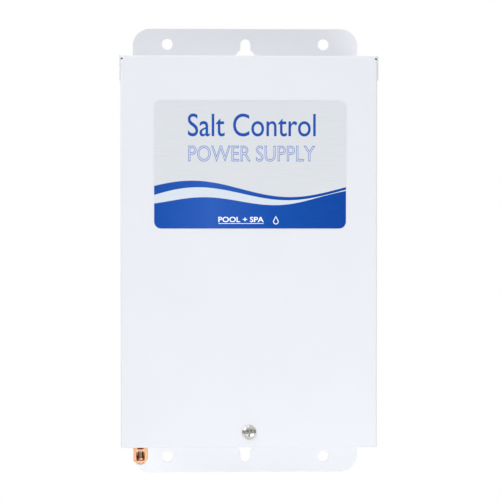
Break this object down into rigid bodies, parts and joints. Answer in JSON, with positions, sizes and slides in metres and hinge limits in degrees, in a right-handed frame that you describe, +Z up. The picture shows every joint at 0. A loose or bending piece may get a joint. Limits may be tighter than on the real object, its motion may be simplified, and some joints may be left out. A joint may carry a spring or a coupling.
{
  "type": "salt chlorine generator power unit",
  "caption": "Wall-mounted sheet-metal power unit with a swing-up cover, lock screw and bonding lug, holding a transformer, rectifier and control board.",
  "frame": {"origin": "centre of the back panel's rear face, which lies on the wall", "axes": "+X right as seen from the front, +Y into the wall, +Z up; the cover faces -Y"},
  "size_m": [0.206, 0.1218, 0.3824],
  "materials": {
    "powder_coat": "smooth white powder coat on steel",
    "cover_coat": "smooth white powder coat on steel",
    "label_film": "satin silver film with printed waves",
    "stainless": "bright machined",
    "zinc_steel": "zinc plated",
    "nylon": "natural nylon",
    "copper": "bright copper strap",
    "black_plastic": "moulded",
    "brass": "machined",
    "red_plastic": "moulded",
    "core_steel": "varnished laminations",
    "winding_tape": "polyester tape",
    "copper_wire": "enamelled wire",
    "aluminium": "extruded",
    "tinned_brass": "tin plated",
    "board_laminate": "solder mask on laminate",
    "terminal_plastic": "moulded",
    "relay_plastic": "moulded",
    "capacitor_sleeve": "shrink sleeve on aluminium can",
    "resistor_ceramic": "cement body",
    "chip_epoxy": "moulded epoxy",
    "ferrite": "wound ferrite ring",
    "fuse_glass": "clear",
    "nickel": "nickel plated",
    "varistor_coat": "dipped epoxy",
    "led_lens": "tinted lens",
    "black_wire": "PVC insulation",
    "yellow_wire": "PVC insulation",
    "red_wire": "PVC insulation",
    "blue_wire": "PVC insulation",
    "green_wire": "PVC insulation"
  },
  "bodies": {
    "enclosure": {"enclosure_shell": "powder_coat", "top_wall": "powder_coat", "bottom_wall": "powder_coat", "lock_screw_nut": "zinc_steel", "ground_lug": "copper", "lug_mount_screw": "stainless", "lug_mount_nut": "zinc_steel", "cell_socket": "black_plastic", "socket_ring_nut": "black_plastic", "socket_contacts": "brass", "reset_breaker": "black_plastic", "breaker_nut": "zinc_steel", "transformer_core": "core_steel", "transformer_bobbin": "nylon", "primary_winding": "winding_tape", "secondary_winding": "copper_wire", "transformer_frame": "zinc_steel", "panel_studs": "zinc_steel", "stud_nuts": "zinc_steel", "heat_sink": "aluminium", "bridge_rectifier": "black_plastic", "rectifier_spades": "tinned_brass", "rectifier_screw": "stainless", "circuit_board": "board_laminate", "board_standoffs": "brass", "board_screws": "stainless", "mains_terminal_block": "terminal_plastic", "output_terminal_block": "terminal_plastic", "terminal_screws": "zinc_steel", "relays": "relay_plastic", "filter_capacitors": "capacitor_sleeve", "power_resistors": "resistor_ceramic", "chips": "chip_epoxy", "output_choke": "ferrite", "fuse_glass": "fuse_glass", "fuse_caps": "nickel", "fuse_clips": "tinned_brass", "varistor": "varistor_coat", "ribbon_header": "black_plastic", "header_pins": "tinned_brass", "status_leds": "led_lens", "ground_stud": "brass", "ring_terminal": "tinned_brass", "ground_nut": "brass", "primary_leads": "black_wire", "secondary_leads": "yellow_wire", "rectified_leads": "red_wire", "output_leads": "blue_wire", "breaker_leads": "black_wire", "ground_wire": "green_wire", "wire_ties": "nylon"},
    "cover": {"front_cover": "cover_coat", "overlay_label": "label_film", "lock_screw_retainer": "nylon"},
    "cover_screw": {"lock_screw": "stainless"},
    "clamp_screw": {"lug_clamp_screw": "stainless"},
    "reset_button": {"breaker_button": "red_plastic"}
  },
  "joints": [
    {"name": "cover_swing", "type": "hinge", "parent": "enclosure", "child": "cover", "pos_m": [0, -0.0943, 0.1518], "axis": [-1, 0, 0], "range_deg": [0, 70]},
    {"name": "cover_screw_turn", "type": "hinge", "parent": "cover", "child": "cover_screw", "pos_m": [0, -0.1192, -0.14245], "axis": [0, -1, 0], "continuous": true},
    {"name": "clamp_screw_turn", "type": "hinge", "parent": "enclosure", "child": "clamp_screw", "pos_m": [-0.0866, -0.109, -0.167], "axis": [0, 0, 1], "continuous": true},
    {"name": "reset_button_press", "type": "slide", "parent": "enclosure", "child": "reset_button", "axis": [0, 0, 1], "range_m": [0, 0.002], "stiffness_N_per_m": 500, "springref_m": -0.001}
  ]
}
